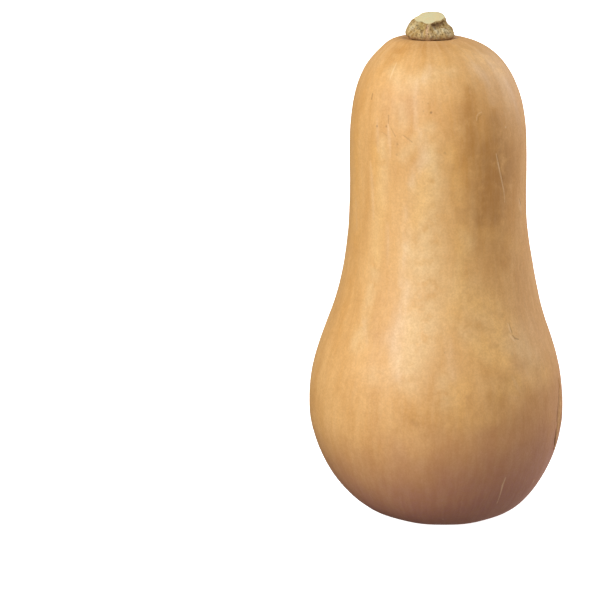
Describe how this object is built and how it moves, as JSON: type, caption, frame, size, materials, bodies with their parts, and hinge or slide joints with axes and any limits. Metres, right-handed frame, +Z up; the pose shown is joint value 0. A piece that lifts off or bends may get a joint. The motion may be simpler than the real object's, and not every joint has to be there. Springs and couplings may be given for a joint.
{
  "type": "butternut squash",
  "caption": "Whole tan butternut squash standing upright on its blossom end, with a long neck, a round bulb and a short corky cut stem.",
  "frame": {"origin": "on the surface that the squash stands on, under the middle of the bulb", "axes": "+Z up along the squash towards the stem, -Y the front, +X to the right"},
  "size_m": [0.1228, 0.121, 0.2414],
  "materials": {
    "rind": "satin tan rind with faint pale and darker lengthwise streaks",
    "stem": "matt, corky, olive tan, with a pale cut top"
  },
  "bodies": {
    "root": {"fruit": "rind", "stem": "stem"}
  },
  "joints": []
}
